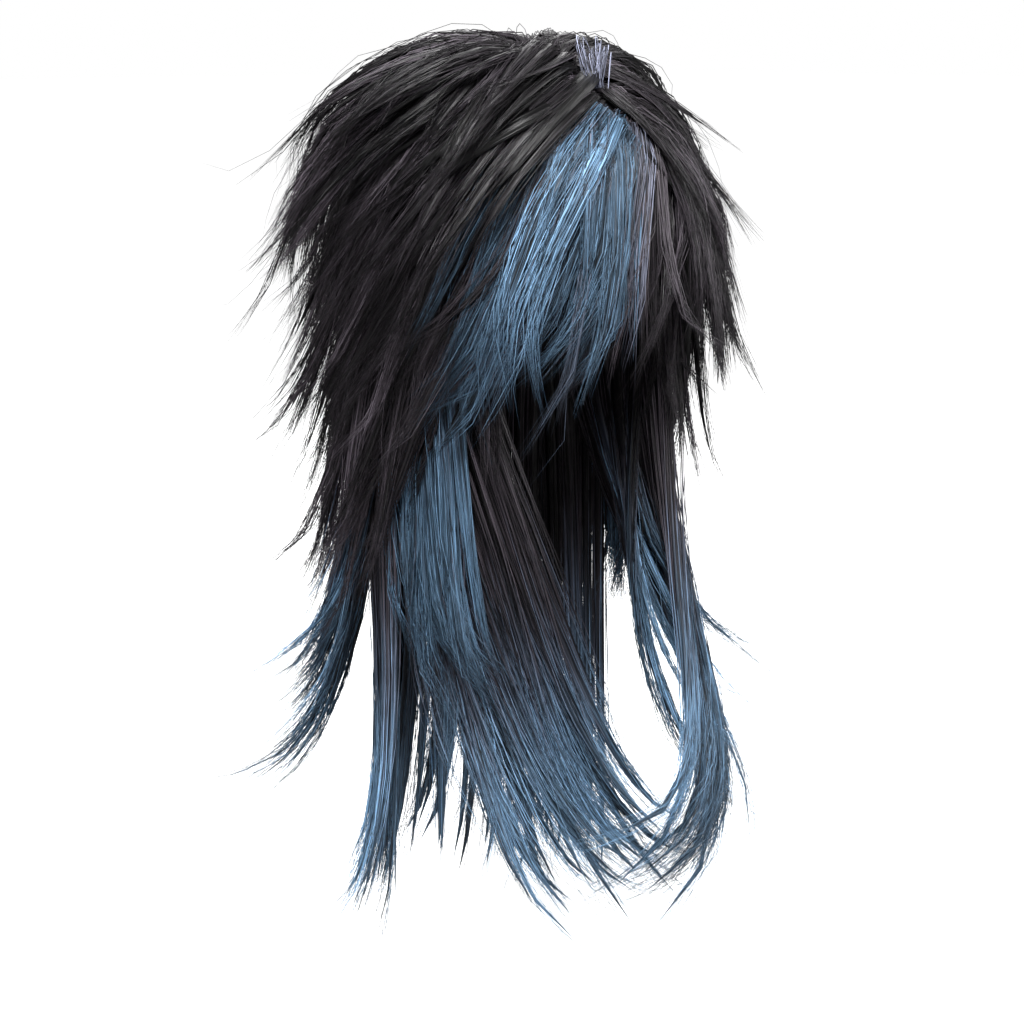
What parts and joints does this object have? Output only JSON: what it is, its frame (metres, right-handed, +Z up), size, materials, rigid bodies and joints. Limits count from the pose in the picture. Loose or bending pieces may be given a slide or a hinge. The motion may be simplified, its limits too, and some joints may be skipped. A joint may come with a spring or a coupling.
{
  "type": "mullet wig",
  "caption": "Layered mullet wig: teased charcoal crown swept back, muted blue fringe and under-panels, flicked layers and long tapered tails, sewn to an open cap.",
  "frame": {"origin": "inside top of the cap, where the crown of the head bears", "axes": "+Z up out of the crown, -Y out of the face opening, -X towards the wearer's right"},
  "size_m": [0.2848, 0.3299, 0.6134],
  "materials": {
    "cap": "elastic wig cap net with sewn wefts, matt",
    "charcoal_hair": "charcoal black synthetic hair, soft sheen",
    "blue_hair": "muted steel blue synthetic hair, soft sheen",
    "slate_hair": "synthetic hair shading from charcoal at the root to slate blue at the tip, soft sheen"
  },
  "bodies": {
    "root": {"wig_cap": "cap", "crown_locks": "charcoal_hair", "blue_fringe_locks": "blue_hair", "dark_fringe_locks": "charcoal_hair", "upper_layer_locks": "charcoal_hair", "ear_locks_right": "charcoal_hair", "ear_locks_left": "charcoal_hair", "middle_layer_locks": "charcoal_hair", "blue_panel_right": "blue_hair", "blue_panel_left": "blue_hair", "front_tail_right": "slate_hair", "front_tail_left": "slate_hair", "back_tail_locks": "slate_hair"}
  },
  "joints": []
}
